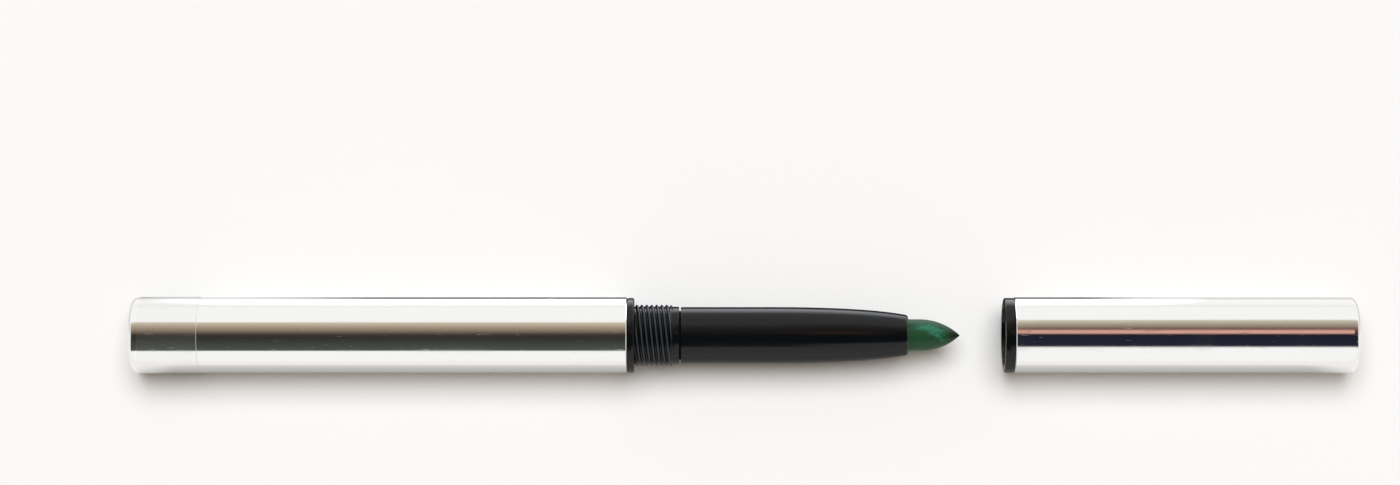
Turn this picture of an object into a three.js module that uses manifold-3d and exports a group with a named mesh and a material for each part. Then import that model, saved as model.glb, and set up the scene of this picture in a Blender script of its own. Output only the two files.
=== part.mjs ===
// A twist-up kohl pencil lying on a table, with its cap taken off and lying in line with it.
// Millimetres, +Z up. The pencil's axis runs along X, with the kohl pointing to +X.
// The origin is on the table, under the middle of the pencil and cap together.
import * as THREE from "three";
import { mergeVertices } from "three/addons/utils/BufferGeometryUtils.js";
import Module from "manifold-3d";

// Tube stock: the barrel and the cap are drawn from the same bright aluminium tube
const BARREL_DIAMETER = 10.0;
const SHELL_WALL = 0.35;
const SHELL_END_WALL = 0.5;
const SHELL_EDGE_RADIUS = 0.9;
const SHELL_MOUTH_RADIUS = 0.1;

// Walls, from the tube inwards to the kohl
const LINER_WALL = 0.48;
const THREAD_DEPTH = 0.275;
const NECK_WALL = 0.45;
const TAIL_WALL = 0.6;
const HOLDER_WALL = 0.345;
const NOSE_TIP_WALL = 0.43;
const NUT_LIP = 1.0;

// Clearances
const FIT_GAP = 0.02;
const GLUE_GAP = 0.03;
const CAP_CLEARANCE = 0.125;
const TURNING_CLEARANCE = 0.1;
const SLIDING_CLEARANCE = 0.1;
const FEED_CLEARANCE = 0.14;
const END_GAP = 0.3;

// Lengths along the pencil
const BARREL_LENGTH = 65.0;
const FLANGE_LENGTH = 0.95;
const THREAD_LENGTH = 5.1;
const RING_LENGTH = 0.8;
const SEAM_GAP = 0.25;
const NOSE_LENGTH = 29.8;
const NOSE_TAPER_LENGTH = 17.9;
const NOSE_TAPER_BEND = 12.5;
const TAIL_LENGTH = 17.2;
const STICK_OUT = 6.85;
const STICK_LENGTH = 31.5;
const STICK_POINT_LENGTH = 5.3;
const STICK_TIP_RADIUS = 0.25;

// Steps in diameter and edge rounding
const FLANGE_STEP = 0.085;
const RING_RISE = 0.025;
const NOSE_STEP = 0.055;
const EDGE_RADIUS = 0.2;

// Cap thread on the neck: right-handed, four starts
const THREAD_PITCH = 0.655;
const THREAD_STARTS = 4;
const THREAD_CREST = 0.12;
const THREAD_FLANK = 0.2;

// Feed screw and nut: left-handed, two starts
const FEED_PITCH = 2.5;
const FEED_STARTS = 2;
const FEED_CREST = 0.8;
const FEED_FLANK = 0.3;
const FEED_DEPTH = 0.32;
const FEED_STEP = 0.6;
const NUT_LENGTH = 6.0;
const SCREW_OVERRUN = 3.4;
const SPIGOT_LENGTH = 1.8;
const SPIGOT_STEP = 0.15;

// Lead holder, and the ribs that key it to the nose
const HUB_LENGTH = 2.6;
const CUP_DEPTH = 4.6;
const RIB_HEIGHT = 0.25;
const RIB_WIDTH = 0.8;
const STOP_ROOM = 2.35;

// Snap bead on the nose's tail, and the rubber ring that drags on the tail
const BEAD_HEIGHT = 0.25;
const BEAD_LENGTH = 1.2;
const O_RING_THICKNESS = 0.8;
const O_RING_SETBACK = 2.6;

// Clear film label on the rear of the barrel
const LABEL_THICKNESS = 0.06;
const LABEL_MARGIN = 0.25;
const LABEL_WIDTH = 7.8;

// Cap
const CAP_LENGTH = 46.3;
const COLLAR_LENGTH = 1.35;
const LINER_END_WALL = 0.4;
const CAP_REST_GAP = 5.75;

// Round surfaces have the same facets, with a flat one underneath that lies on the table
const FACETS = 32;
const SCREW_FACETS = 16;
const ARC_STEPS = 3;
const EDGE_STEPS = 2;
const CURVE_STEPS = 8;
const WELD = 1e-4;

// Radii, from the tube inwards
const barrelRadius = BARREL_DIAMETER / 2;
const shellBore = barrelRadius - SHELL_WALL;
const insertRadius = shellBore - FIT_GAP;
const linerBore = insertRadius - LINER_WALL;
const threadCrest = linerBore - CAP_CLEARANCE;
const threadRoot = threadCrest - THREAD_DEPTH;
const ringRadius = threadRoot + RING_RISE;
const neckBore = threadRoot - NECK_WALL;
const tailRadius = neckBore - TURNING_CLEARANCE;
const tailBore = tailRadius - TAIL_WALL;
const holderRadius = tailBore - SLIDING_CLEARANCE;
const cupBore = holderRadius - HOLDER_WALL;
const stickRadius = cupBore - GLUE_GAP;
const guideBore = stickRadius + SLIDING_CLEARANCE;
const flangeRadius = barrelRadius - FLANGE_STEP;
const noseRadius = ringRadius - NOSE_STEP;
const noseTipRadius = guideBore + NOSE_TIP_WALL;
const labelBore = barrelRadius + FIT_GAP;
const labelRadius = labelBore + LABEL_THICKNESS;
const screwCrest = stickRadius - FEED_STEP;
const screwRoot = screwCrest - FEED_DEPTH;
const spigotRadius = screwRoot - SPIGOT_STEP;
const ribRadius = holderRadius + RIB_HEIGHT;

// Stations along the axis, from the barrel's closed end
const barrelMouth = BARREL_LENGTH;
const flangeFront = barrelMouth + FLANGE_LENGTH;
const threadEnd = flangeFront + THREAD_LENGTH;
const neckFront = threadEnd + RING_LENGTH;
const noseRear = neckFront + SEAM_GAP;
const noseFront = noseRear + NOSE_LENGTH;
const stickTip = noseFront + STICK_OUT;
const stickRear = stickTip - STICK_LENGTH;
const cupFloor = stickRear - GLUE_GAP;
const holderFront = cupFloor + CUP_DEPTH;
const holderRear = cupFloor - HUB_LENGTH;
const guideRear = holderFront + STOP_ROOM;
const tailRear = noseRear - TAIL_LENGTH;
const nutFront = tailRear - END_GAP;
const nutRear = nutFront - NUT_LENGTH;
const sleeveRear = nutRear - FIT_GAP - NUT_LIP;
const screwRear = nutRear - SCREW_OVERRUN;
const capMouth = stickTip + CAP_REST_GAP;
const capEnd = capMouth + CAP_LENGTH;
const overallLength = capEnd;
const axisHeight = labelRadius;

const wasm = await Module();
wasm.setup();

// Geometry with only positions, shared corners joined and collapsed triangles dropped.
function weld(geometry) {
  const bare = new THREE.BufferGeometry();
  bare.setAttribute("position", geometry.getAttribute("position"));
  bare.setIndex(geometry.index);
  const welded = mergeVertices(bare, WELD);
  const corners = welded.index.array;
  const kept = [];
  for (let i = 0; i < corners.length; i += 3) {
    const [a, b, c] = corners.slice(i, i + 3);
    if (a !== b && b !== c && c !== a) kept.push(a, b, c);
  }
  welded.setIndex(kept);
  return welded;
}

function solidOf(geometry) {
  const welded = weld(geometry);
  return new wasm.Manifold(
    new wasm.Mesh({
      numProp: 3,
      vertProperties: new Float32Array(welded.getAttribute("position").array),
      triVerts: new Uint32Array(welded.index.array),
    }),
  );
}

function geometryOf(solid) {
  const mesh = solid.getMesh();
  const geometry = new THREE.BufferGeometry();
  geometry.setAttribute("position", new THREE.BufferAttribute(mesh.vertProperties, 3));
  geometry.setIndex(new THREE.BufferAttribute(mesh.triVerts, 1));
  return geometry;
}

// Turns a closed outline round the axis. A row of the outline is a [station, radius] pair,
// or a function of the share of a turn that gives one, which is how a thread winds along.
// The outer surface runs towards +X and a bore back towards -X. Radii are across the flats.
function turn(outline, facets = FACETS) {
  const facetAngle = (2 * Math.PI) / facets;
  const cornerShare = 1 / Math.cos(facetAngle / 2);
  const rows = outline.map((row) => (typeof row === "function" ? row : () => row));
  const blank = rows.map((row) => new THREE.Vector2(row(0)[1], row(0)[0]));
  const lathe = new THREE.LatheGeometry(blank, facets);
  const corners = lathe.getAttribute("position");
  for (let column = 0; column <= facets; column++) {
    const angle = ((column % facets) + 0.5) * facetAngle;
    rows.forEach((row, j) => {
      const [station, radius] = row(column / facets);
      const reach = radius * cornerShare;
      const y = -reach * Math.sin(angle);
      const z = reach * Math.cos(angle);
      corners.setXYZ(column * rows.length + j, station, y, z);
    });
  }
  return weld(lathe);
}

// A ring-shaped outline, closed on itself.
function turnRing(outline) {
  return turn([...outline, outline[0]]);
}

// Points of an arc about a centre, between two angles measured from +X to outwards.
function arc(station, radius, rounding, fromDegrees, toDegrees, steps = ARC_STEPS) {
  return Array.from({ length: steps + 1 }, (_, i) => {
    const degrees = THREE.MathUtils.lerp(fromDegrees, toDegrees, i / steps);
    const angle = THREE.MathUtils.degToRad(degrees);
    return [station + rounding * Math.cos(angle), radius + rounding * Math.sin(angle)];
  });
}

// Rows of a thread between two stations. Each ridge is a flank, a crest and a flank, from the base
// radius to the peak radius and back, and both ends of the thread run out to the radius runOut.
// hand is 1 for right-handed, -1 for left-handed.
function threadRows(thread) {
  const { from, to, pitch, starts, hand, base, peak, crest, flank, runOut, phase = 0 } = thread;
  const ridge = [
    [0, base],
    [flank, peak],
    [flank + crest, peak],
    [2 * flank + crest, base],
  ];
  const first = -starts - 1;
  const last = Math.ceil((to - from) / pitch) + 1;
  const rows = [];
  for (let turnIndex = first; turnIndex <= last; turnIndex++) {
    for (const [offset, radius] of ridge) {
      rows.push((share) => {
        const wound = starts * (hand > 0 ? share : 1 - share);
        const station = from + phase + offset + pitch * (turnIndex + wound);
        const inside = station > from && station < to;
        return [THREE.MathUtils.clamp(station, from, to), inside ? radius : runOut];
      });
    }
  }
  return rows;
}

// The rounded outer edge of a turned piece: rear is its edge towards -X, front towards +X.
function rearEdge(station, radius, rounding = EDGE_RADIUS) {
  return arc(station + rounding, radius - rounding, rounding, 180, 90, EDGE_STEPS);
}
function frontEdge(station, radius, rounding = EDGE_RADIUS) {
  return arc(station - rounding, radius - rounding, rounding, 90, 0, EDGE_STEPS);
}

// Finishes, as bare colours
function finish(color, roughness, metalness) {
  return new THREE.MeshStandardMaterial({ color, roughness, metalness });
}
const brightAluminium = finish(0xd4d6d8, 0.12, 1.0);
const blackPlastic = finish(0x151616, 0.25, 0.0);
const greenKohl = finish(0x1f5a3e, 0.5, 0.0);
const naturalAcetal = finish(0xe6e2d6, 0.45, 0.0);
const blackRubber = finish(0x1c1c1c, 0.8, 0.0);
const clearFilm = finish(0xf2f4f4, 0.1, 0.0);
clearFilm.transparent = true;
clearFilm.opacity = 0.25;

// A drawn can along the axis: closed and rounded at one end, open at the other.
function drawnCan(closedEnd, mouth) {
  const out = Math.sign(closedEnd - mouth);
  const innerEnd = closedEnd - out * SHELL_END_WALL;
  const innerRounding = Math.max(SHELL_EDGE_RADIUS - SHELL_WALL, SHELL_WALL);
  const outerEdge = closedEnd - out * SHELL_EDGE_RADIUS;
  const innerEdge = innerEnd - out * innerRounding;
  const lip = mouth + out * SHELL_MOUTH_RADIUS;
  const startAngle = out > 0 ? 0 : 180;
  const outline = [
    [closedEnd, 0],
    ...arc(outerEdge, barrelRadius - SHELL_EDGE_RADIUS, SHELL_EDGE_RADIUS, startAngle, 90),
    ...arc(lip, barrelRadius - SHELL_MOUTH_RADIUS, SHELL_MOUTH_RADIUS, 90, 180 - startAngle, EDGE_STEPS),
    [mouth, shellBore],
    ...arc(innerEdge, shellBore - innerRounding, innerRounding, 90, startAngle),
    [innerEnd, 0],
  ];
  return turn(out > 0 ? outline.reverse() : outline);
}

function shadeLabel() {
  const rear = SHELL_EDGE_RADIUS + LABEL_MARGIN;
  const front = rear + LABEL_WIDTH;
  return turnRing([
    [rear, labelBore],
    [rear, labelRadius],
    [front, labelRadius],
    [front, labelBore],
  ]);
}

// The moulding in the barrel's mouth: flange, cap thread and plain ring outside; inside, a seat
// for the feed nut, a pocket for the nose's snap bead and a groove for the rubber ring.
function neckSleeve() {
  const pocketRear = nutFront;
  const pocketFront = tailRear + BEAD_LENGTH + END_GAP;
  const pocketRadius = neckBore + BEAD_HEIGHT;
  const grooveMiddle = barrelMouth - O_RING_SETBACK;
  const grooveRear = grooveMiddle - O_RING_THICKNESS / 2 - FIT_GAP;
  const grooveFront = grooveMiddle + O_RING_THICKNESS / 2 + FIT_GAP;
  const grooveRadius = tailRadius + FIT_GAP + O_RING_THICKNESS + FIT_GAP;
  const lipRadius = screwCrest + FEED_CLEARANCE + END_GAP;
  const flangeRear = barrelMouth + FIT_GAP;
  return turnRing([
    [sleeveRear, lipRadius],
    [sleeveRear, insertRadius],
    [flangeRear, insertRadius],
    ...rearEdge(flangeRear, flangeRadius),
    ...frontEdge(flangeFront, flangeRadius),
    [flangeFront, threadRoot],
    ...threadRows({
      from: flangeFront + FIT_GAP,
      to: threadEnd,
      pitch: THREAD_PITCH,
      starts: THREAD_STARTS,
      hand: 1,
      base: threadRoot,
      peak: threadCrest,
      crest: THREAD_CREST,
      flank: THREAD_FLANK,
      runOut: threadRoot,
    }),
    [threadEnd, ringRadius],
    ...frontEdge(neckFront, ringRadius),
    [neckFront, neckBore],
    [grooveFront, neckBore],
    [grooveFront, grooveRadius],
    [grooveRear, grooveRadius],
    [grooveRear, neckBore],
    [pocketFront, neckBore],
    [pocketFront, pocketRadius],
    [pocketRear, pocketRadius],
    [pocketRear, neckBore],
    [nutRear - FIT_GAP, neckBore],
    [nutRear - FIT_GAP, lipRadius],
  ]);
}

function frictionRing() {
  const middle = barrelMouth - O_RING_SETBACK;
  const rounding = O_RING_THICKNESS / 2;
  const radius = tailRadius + FIT_GAP + rounding;
  const bottom = arc(middle, radius, rounding, 0, -180);
  const top = arc(middle, radius, rounding, 180, 0);
  return turn([...bottom, ...top]);
}

// The nut's bore follows the screw's thread with the feed clearance all round.
function feedNut() {
  const outside = neckBore - FIT_GAP;
  const bore = screwRoot + FEED_CLEARANCE;
  const groove = screwCrest + FEED_CLEARANCE;
  const thread = threadRows({
    from: nutRear,
    to: nutFront,
    pitch: FEED_PITCH,
    starts: FEED_STARTS,
    hand: -1,
    base: bore,
    peak: groove,
    crest: FEED_CREST + 2 * FEED_CLEARANCE,
    flank: FEED_FLANK,
    runOut: groove,
    phase: screwRear - nutRear - FEED_CLEARANCE + FEED_PITCH,
  });
  return turnRing([[nutRear, outside], [nutFront, outside], ...thread.reverse()]);
}

function feedScrew() {
  const shoulder = holderRear - FIT_GAP;
  const spigotEnd = shoulder + SPIGOT_LENGTH;
  const outline = [
    [screwRear, 0],
    [screwRear, screwRoot],
    ...threadRows({
      from: screwRear,
      to: shoulder,
      pitch: FEED_PITCH,
      starts: FEED_STARTS,
      hand: -1,
      base: screwRoot,
      peak: screwCrest,
      crest: FEED_CREST,
      flank: FEED_FLANK,
      runOut: screwRoot,
    }),
    [shoulder, spigotRadius],
    [spigotEnd, spigotRadius],
    [spigotEnd, 0],
  ];
  return turn(outline, SCREW_FACETS);
}

// A bar through the axis, for the keyways of the nose and the ribs of the holder.
function crossBar(rear, front, width, reach) {
  const bar = new THREE.BoxGeometry(front - rear, 2 * reach, width);
  bar.translate((rear + front) / 2, 0, 0);
  return solidOf(bar);
}

function noseCone() {
  const front = noseFront - EDGE_RADIUS;
  const taperRear = noseFront - NOSE_TAPER_LENGTH;
  const taper = new THREE.QuadraticBezierCurve(
    new THREE.Vector2(taperRear, noseRadius),
    new THREE.Vector2(taperRear + NOSE_TAPER_BEND, noseRadius),
    new THREE.Vector2(front, noseTipRadius),
  );
  const beadFront = tailRear + BEAD_LENGTH;
  const beadRadius = tailRadius + BEAD_HEIGHT;
  const body = solidOf(
    turnRing([
      [tailRear, tailBore],
      [tailRear, tailRadius],
      [tailRear + BEAD_HEIGHT, beadRadius],
      [beadFront - BEAD_HEIGHT, beadRadius],
      [beadFront, tailRadius],
      [noseRear, tailRadius],
      ...rearEdge(noseRear, noseRadius),
      ...taper.getPoints(CURVE_STEPS).map(({ x, y }) => [x, y]),
      ...frontEdge(noseFront, noseTipRadius).slice(1),
      [noseFront, guideBore],
      [guideRear, guideBore],
      [guideRear, tailBore],
    ]),
  );
  const keyRear = tailRear - END_GAP;
  const keyWidth = RIB_WIDTH + 2 * SLIDING_CLEARANCE;
  const keyReach = ribRadius + SLIDING_CLEARANCE;
  return geometryOf(body.subtract(crossBar(keyRear, guideRear, keyWidth, keyReach)));
}

function leadHolder() {
  const blank = solidOf(
    turn([
      [holderRear, 0],
      [holderRear, holderRadius],
      [holderFront, holderRadius],
      [holderFront, 0],
    ]),
  );
  const ribs = crossBar(holderRear, cupFloor - END_GAP, RIB_WIDTH, ribRadius);
  const cup = solidOf(
    turn([
      [cupFloor, 0],
      [cupFloor, cupBore],
      [holderFront + END_GAP, cupBore],
      [holderFront + END_GAP, 0],
    ]),
  );
  const socketEnd = holderRear + SPIGOT_LENGTH + GLUE_GAP;
  const socketRadius = spigotRadius + GLUE_GAP;
  const socket = solidOf(
    turn([
      [holderRear - END_GAP, 0],
      [holderRear - END_GAP, socketRadius],
      [socketEnd, socketRadius],
      [socketEnd, 0],
    ]),
  );
  return geometryOf(blank.add(ribs).subtract(cup).subtract(socket));
}

// The kohl ends in a pointed arch: the side curves in on one long arc and the tip is blunted.
function kohlStick() {
  const shoulder = stickTip - STICK_POINT_LENGTH;
  const archRadius = (stickRadius ** 2 + STICK_POINT_LENGTH ** 2) / (2 * stickRadius);
  const bluntAt = STICK_POINT_LENGTH - STICK_TIP_RADIUS;
  const point = Array.from({ length: CURVE_STEPS + 1 }, (_, i) => {
    const along = (bluntAt * i) / CURVE_STEPS;
    const radius = Math.sqrt(archRadius ** 2 - along ** 2) - archRadius + stickRadius;
    return [shoulder + along, radius];
  });
  return turn([[stickRear, 0], [stickRear, stickRadius], ...point, [stickTip, 0]]);
}

function capLiner() {
  const collarFront = capMouth + COLLAR_LENGTH - FIT_GAP;
  const linerEnd = capEnd - SHELL_END_WALL - FIT_GAP;
  const endRounding = Math.max(SHELL_EDGE_RADIUS - SHELL_WALL, SHELL_WALL) + FIT_GAP;
  return turn([
    [linerEnd - LINER_END_WALL, 0],
    [linerEnd - LINER_END_WALL, linerBore - endRounding],
    [linerEnd - LINER_END_WALL - endRounding, linerBore],
    [capMouth + EDGE_RADIUS, linerBore],
    [capMouth, linerBore + EDGE_RADIUS],
    ...rearEdge(capMouth, flangeRadius),
    [collarFront, flangeRadius],
    [collarFront, insertRadius],
    [linerEnd - endRounding, insertRadius],
    [linerEnd, insertRadius - endRounding],
    [linerEnd, 0],
  ]);
}

const pencil = new THREE.Group();
pencil.position.set(-overallLength / 2, 0, axisHeight);

function place(name, geometry, material) {
  geometry.computeVertexNormals();
  const mesh = new THREE.Mesh(geometry, material);
  mesh.name = name;
  pencil.add(mesh);
}

place("barrel_shell", drawnCan(0, barrelMouth), brightAluminium);
place("shade_label", shadeLabel(), clearFilm);
place("neck_sleeve", neckSleeve(), blackPlastic);
place("friction_ring", frictionRing(), blackRubber);
place("feed_nut", feedNut(), naturalAcetal);
place("nose_cone", noseCone(), blackPlastic);
place("lead_holder", leadHolder(), naturalAcetal);
place("feed_screw", feedScrew(), naturalAcetal);
place("kohl_stick", kohlStick(), greenKohl);
place("cap_shell", drawnCan(capEnd, capMouth + COLLAR_LENGTH), brightAluminium);
place("cap_liner", capLiner(), blackPlastic);

const kohlPencil = new THREE.Group();
kohlPencil.add(pencil);

export default kohlPencil;
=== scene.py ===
# %% [markdown]
# # A twist-up kohl pencil
# The pencil lies on a pale table with its cap pulled off and lying in line with it. A CAD model
# of it is already packed. It fixes every size and joint, so this lesson loads it as a frame and
# dresses it: each piece is modelled again, round and fine, in the place of its CAD solid.

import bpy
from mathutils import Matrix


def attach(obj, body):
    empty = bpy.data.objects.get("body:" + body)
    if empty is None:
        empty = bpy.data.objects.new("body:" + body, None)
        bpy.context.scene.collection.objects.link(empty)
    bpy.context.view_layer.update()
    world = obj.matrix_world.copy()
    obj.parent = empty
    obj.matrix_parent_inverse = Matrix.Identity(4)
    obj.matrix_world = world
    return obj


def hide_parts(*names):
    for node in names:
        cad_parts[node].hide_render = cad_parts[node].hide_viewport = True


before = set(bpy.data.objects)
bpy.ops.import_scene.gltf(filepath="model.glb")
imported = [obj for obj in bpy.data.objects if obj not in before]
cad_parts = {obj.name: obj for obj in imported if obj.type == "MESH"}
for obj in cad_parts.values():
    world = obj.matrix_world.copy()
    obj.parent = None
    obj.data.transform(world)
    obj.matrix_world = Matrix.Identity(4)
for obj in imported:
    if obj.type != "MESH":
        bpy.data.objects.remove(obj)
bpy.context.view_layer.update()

# %% [markdown]
# ## The camera
# The photograph looks almost straight down with a long lens, so the tube hardly tapers in the
# picture. The pencil lies below the middle of the frame. Lens shift would move it there too,
# but shift follows the camera into every other view, so the camera is aimed instead.

# %% Camera
import math
import bpy
from mathutils import Matrix, Vector

MM = 0.001
ROW_START = -80.4
AXIS_HEIGHT = 5.08
PHOTO_WIDTH = 1400
FOCAL_PIXELS = 4214
SENSOR_WIDTH = 36
CAMERA_DISTANCE = 554 * MM
CAMERA_ELEVATION = math.radians(85)
AIM_STATION = 74.6
PIXELS_BELOW_MIDDLE = 92.9

eye_data = bpy.data.cameras.new("camera")
eye_data.sensor_width = SENSOR_WIDTH
eye_data.lens = FOCAL_PIXELS / PHOTO_WIDTH * SENSOR_WIDTH
eye = bpy.data.objects.new("camera", eye_data)
bpy.context.scene.collection.objects.link(eye)
aimed_at = Vector(((AIM_STATION + ROW_START) * MM, 0, AXIS_HEIGHT * MM))
towards_eye = Vector((0, -math.cos(CAMERA_ELEVATION), math.sin(CAMERA_ELEVATION)))
eye.location = aimed_at + CAMERA_DISTANCE * towards_eye
lift = math.atan(PIXELS_BELOW_MIDDLE / FOCAL_PIXELS)
eye.rotation_euler = (math.pi / 2 - CAMERA_ELEVATION + lift, 0, 0)
bpy.context.scene.camera = eye
bpy.context.scene.view_settings.view_transform = "Standard"
print("camera at", [round(number, 4) for number in eye.location], "lens", eye_data.lens, "mm")

# %% [markdown]
# ## Colours and nodes
# Colours are written as sRGB hex values, as a colour picker shows them, but shaders count in
# linear light, so one function converts them. Another adds a node, sets it and links it, which
# keeps every material below down to what it looks like.

# %% Colour and node helpers
def linear(hex_colour):
    """A linear RGBA colour from an sRGB hex value such as "#1F5038"."""
    light = []
    for place in (1, 3, 5):
        level = int(hex_colour[place : place + 2], 16) / 255
        light.append(level / 12.92 if level <= 0.04045 else ((level + 0.055) / 1.055) ** 2.4)
    return (*light, 1.0)


def add_node(tree, kind, inputs=None, links=None, **settings):
    """Adds a shader node. inputs sets sockets, and links joins outputs to sockets."""
    made = tree.nodes.new("ShaderNode" + kind)
    for name, value in settings.items():
        setattr(made, name, value)
    for socket, value in (inputs or {}).items():
        made.inputs[socket].default_value = value
    for socket, output in (links or {}).items():
        tree.links.new(output, made.inputs[socket])
    return made


def new_material(name):
    """A material with only its output node, and the tree to fill."""
    material = bpy.data.materials.new(name)
    material.use_nodes = True
    material.node_tree.nodes.clear()
    return material, material.node_tree


print("mid grey in linear light:", round(linear("#808080")[0], 3))

# %% [markdown]
# ## The table
# A plain pale board. A few metres of it fill the picture, and its colour, not extra light, makes
# the background white. A very faint mottle keeps it from being a dead flat colour.

# %% Table colour
MOTTLE_SIZE = 60 * MM

table_finish, tree = new_material("painted board")
spot = add_node(tree, "TexCoord").outputs["Object"]
mottle = add_node(
    tree, "TexNoise", {"Scale": 1 / MOTTLE_SIZE, "Detail": 2.0}, {"Vector": spot}
)
tone = add_node(
    tree,
    "Mix",
    {6: linear("#FAF9F8"), 7: linear("#FCFBFA")},
    {0: mottle.outputs[0]},
    data_type="RGBA",
)
print("table mottle", MOTTLE_SIZE / MM, "mm across")

# %% [markdown]
# ## What the tubes mirror in the table
# The sides of a polished tube show the table beside it. In the photograph the front side is grey
# low down, and the rear side has a thin dark line along its edge and, on the nose, a light one.
# Cards laid on the table could give these, but the camera would see the cards. So the board has
# three strips that only mirrored rays see: a grey one in front of the tubes, a thin dark one
# close behind them and a bright sweep behind that. Rays that have already met a dull surface
# don't see the strips, so they change nothing but the mirrors.

# %% Grey strip in front
UNDER_ONE_BOUNCE = 0.5
SHADE_START, SHADE_END = -40 * MM, -7 * MM
ROW_REACH, ROW_GONE = 76 * MM, 82 * MM

across = add_node(tree, "SeparateXYZ", links={0: spot})
nearness = add_node(
    tree,
    "MapRange",
    {"From Min": SHADE_START, "From Max": SHADE_END},
    {"Value": across.outputs["Y"]},
)
in_front = add_node(
    tree, "MapRange", {"From Min": 0.0, "From Max": SHADE_END}, {"Value": across.outputs["Y"]}
)
aside = add_node(tree, "Math", links={0: across.outputs["X"]}, operation="ABSOLUTE")
beside_row = add_node(
    tree, "MapRange", {"From Min": ROW_GONE, "From Max": ROW_REACH}, {"Value": aside.outputs[0]}
)
front = add_node(
    tree, "Math", links={0: nearness.outputs[0], 1: in_front.outputs[0]}, operation="MULTIPLY"
)
strip = add_node(
    tree, "Math", links={0: front.outputs[0], 1: beside_row.outputs[0]}, operation="MULTIPLY"
)
path = add_node(tree, "LightPath")
direct = add_node(
    tree,
    "Math",
    {1: UNDER_ONE_BOUNCE},
    {0: path.outputs["Diffuse Depth"]},
    operation="LESS_THAN",
)
in_mirror = add_node(
    tree,
    "Math",
    links={0: path.outputs["Is Glossy Ray"], 1: direct.outputs[0]},
    operation="MULTIPLY",
)
mirrored = in_mirror.outputs[0]
dimmed = add_node(tree, "Math", links={0: strip.outputs[0], 1: mirrored}, operation="MULTIPLY")
mirrored_tone = add_node(
    tree,
    "Mix",
    {7: linear("#B4B2AF")},
    {0: dimmed.outputs[0], 6: tone.outputs[2]},
    data_type="RGBA",
)
print("grey strip", round((SHADE_END - SHADE_START) / MM), "mm wide")

# %% Dark strip close behind
EDGE_NEAR, EDGE_FAR = 9.3 * MM, 13.0 * MM
BEHIND_FROM = EDGE_NEAR / 4
DIM_START, DIM_END = -80 * MM, 62 * MM
FULL_FROM, FULL_TO = -50 * MM, 46 * MM
AT_ENDS = 0.35

along_row = add_node(
    tree,
    "MapRange",
    {"From Min": DIM_START, "From Max": DIM_END},
    {"Value": across.outputs["X"]},
)
beside = add_node(tree, "ValToRGB", links={"Fac": along_row.outputs[0]})
stops = beside.color_ramp.elements
for stop in stops:
    stop.color = (AT_ENDS, AT_ENDS, AT_ENDS, 1)
for place in (FULL_FROM, FULL_TO):
    stops.new((place - DIM_START) / (DIM_END - DIM_START)).color = (1, 1, 1, 1)
behind = add_node(
    tree, "MapRange", {"From Min": EDGE_FAR, "From Max": EDGE_NEAR}, {"Value": across.outputs["Y"]}
)
not_in_front = add_node(
    tree, "Math", {1: BEHIND_FROM}, {0: across.outputs["Y"]}, operation="GREATER_THAN"
)
close_behind = add_node(
    tree, "Math", links={0: behind.outputs[0], 1: not_in_front.outputs[0]}, operation="MULTIPLY"
)
edge_strip = add_node(
    tree, "Math", links={0: close_behind.outputs[0], 1: beside.outputs[0]}, operation="MULTIPLY"
)
mirrored_edge = add_node(
    tree, "Math", links={0: edge_strip.outputs[0], 1: mirrored}, operation="MULTIPLY"
)
edge_tone = add_node(
    tree,
    "Mix",
    {7: linear("#504E4C")},
    {0: mirrored_edge.outputs[0], 6: mirrored_tone.outputs[2]},
    data_type="RGBA",
)
print("dark strip fades out", round(EDGE_FAR / MM), "mm behind the axis")

# %% Bright sweep behind that
GLOW, END_GLOW = 2.1, 0.04
GLOW_FULL, GLOW_GONE = 16 * MM, 56 * MM

fading = add_node(
    tree,
    "MapRange",
    {"From Min": GLOW_GONE, "From Max": GLOW_FULL, "To Max": GLOW},
    {"Value": across.outputs["Y"]},
)
off_edge = add_node(tree, "Math", {0: 1.0}, {1: edge_strip.outputs[0]}, operation="SUBTRACT")
lit = add_node(
    tree, "Math", links={0: fading.outputs[0], 1: off_edge.outputs[0]}, operation="MULTIPLY"
)
lit_behind = add_node(
    tree, "Math", links={0: lit.outputs[0], 1: not_in_front.outputs[0]}, operation="MULTIPLY"
)
off_ends = add_node(
    tree, "MapRange", {"From Min": AT_ENDS, "To Min": END_GLOW}, {"Value": beside.outputs[0]}
)
lit_row = add_node(
    tree, "Math", links={0: lit_behind.outputs[0], 1: off_ends.outputs[0]}, operation="MULTIPLY"
)
glow = add_node(tree, "Math", links={0: lit_row.outputs[0], 1: mirrored}, operation="MULTIPLY")
print("bright sweep gone", round(GLOW_GONE / MM), "mm behind the axis")

# %% Board
import bmesh

TABLE_REACH = 3.0

board = add_node(
    tree,
    "BsdfPrincipled",
    {"Roughness": 0.75, "Specular IOR Level": 0.2, "Emission Color": linear("#EEF2FF")},
    {"Base Color": edge_tone.outputs[2], "Emission Strength": glow.outputs[0]},
)
add_node(tree, "OutputMaterial", links={"Surface": board.outputs[0]})

bm = bmesh.new()
bmesh.ops.create_grid(bm, x_segments=1, y_segments=1, size=TABLE_REACH)
table_mesh = bpy.data.meshes.new("table")
bm.to_mesh(table_mesh)
bm.free()
table_mesh.materials.append(table_finish)
table = bpy.data.objects.new("table", table_mesh)
bpy.context.scene.collection.objects.link(table)
print("table", TABLE_REACH * 2, "m across")

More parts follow.
